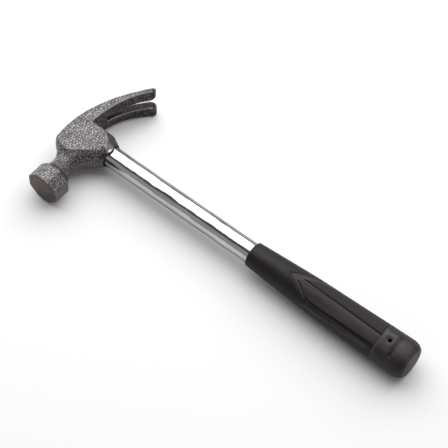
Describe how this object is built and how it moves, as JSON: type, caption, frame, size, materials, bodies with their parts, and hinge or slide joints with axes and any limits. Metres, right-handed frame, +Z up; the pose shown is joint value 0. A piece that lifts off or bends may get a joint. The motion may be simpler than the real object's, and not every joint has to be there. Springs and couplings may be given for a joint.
{
  "type": "claw hammer",
  "caption": "Curved-claw hammer: forged head with an octagonal poll and a V nail slot, round steel tube handle and a moulded rubber grip with a hanging hole, lying on its side.",
  "frame": {"origin": "centre of the underside of the bounding box, on the surface the hammer lies on", "axes": "the hammer lies on its side: +X along the handle from the head to the butt, +Y from the striking face to the claw's tips, +Z up, square to the head's flat cheeks"},
  "size_m": [0.3318, 0.1242, 0.0316],
  "materials": {
    "head": "silver-grey hammertone enamel over forged steel, bare brown-black steel under the claw and on the striking face",
    "handle_tube": "bright chrome plate",
    "expansion_plug": "bare turned steel",
    "shock_dowel": "plain hardwood dowel",
    "tube_end_plug": "moulded black plastic",
    "grip": "satin black moulded rubber with smooth and stippled panels"
  },
  "bodies": {
    "root": {"head": "head", "handle_tube": "handle_tube", "expansion_plug": "expansion_plug", "shock_dowel": "shock_dowel", "tube_end_plug": "tube_end_plug", "grip": "grip"}
  },
  "joints": []
}
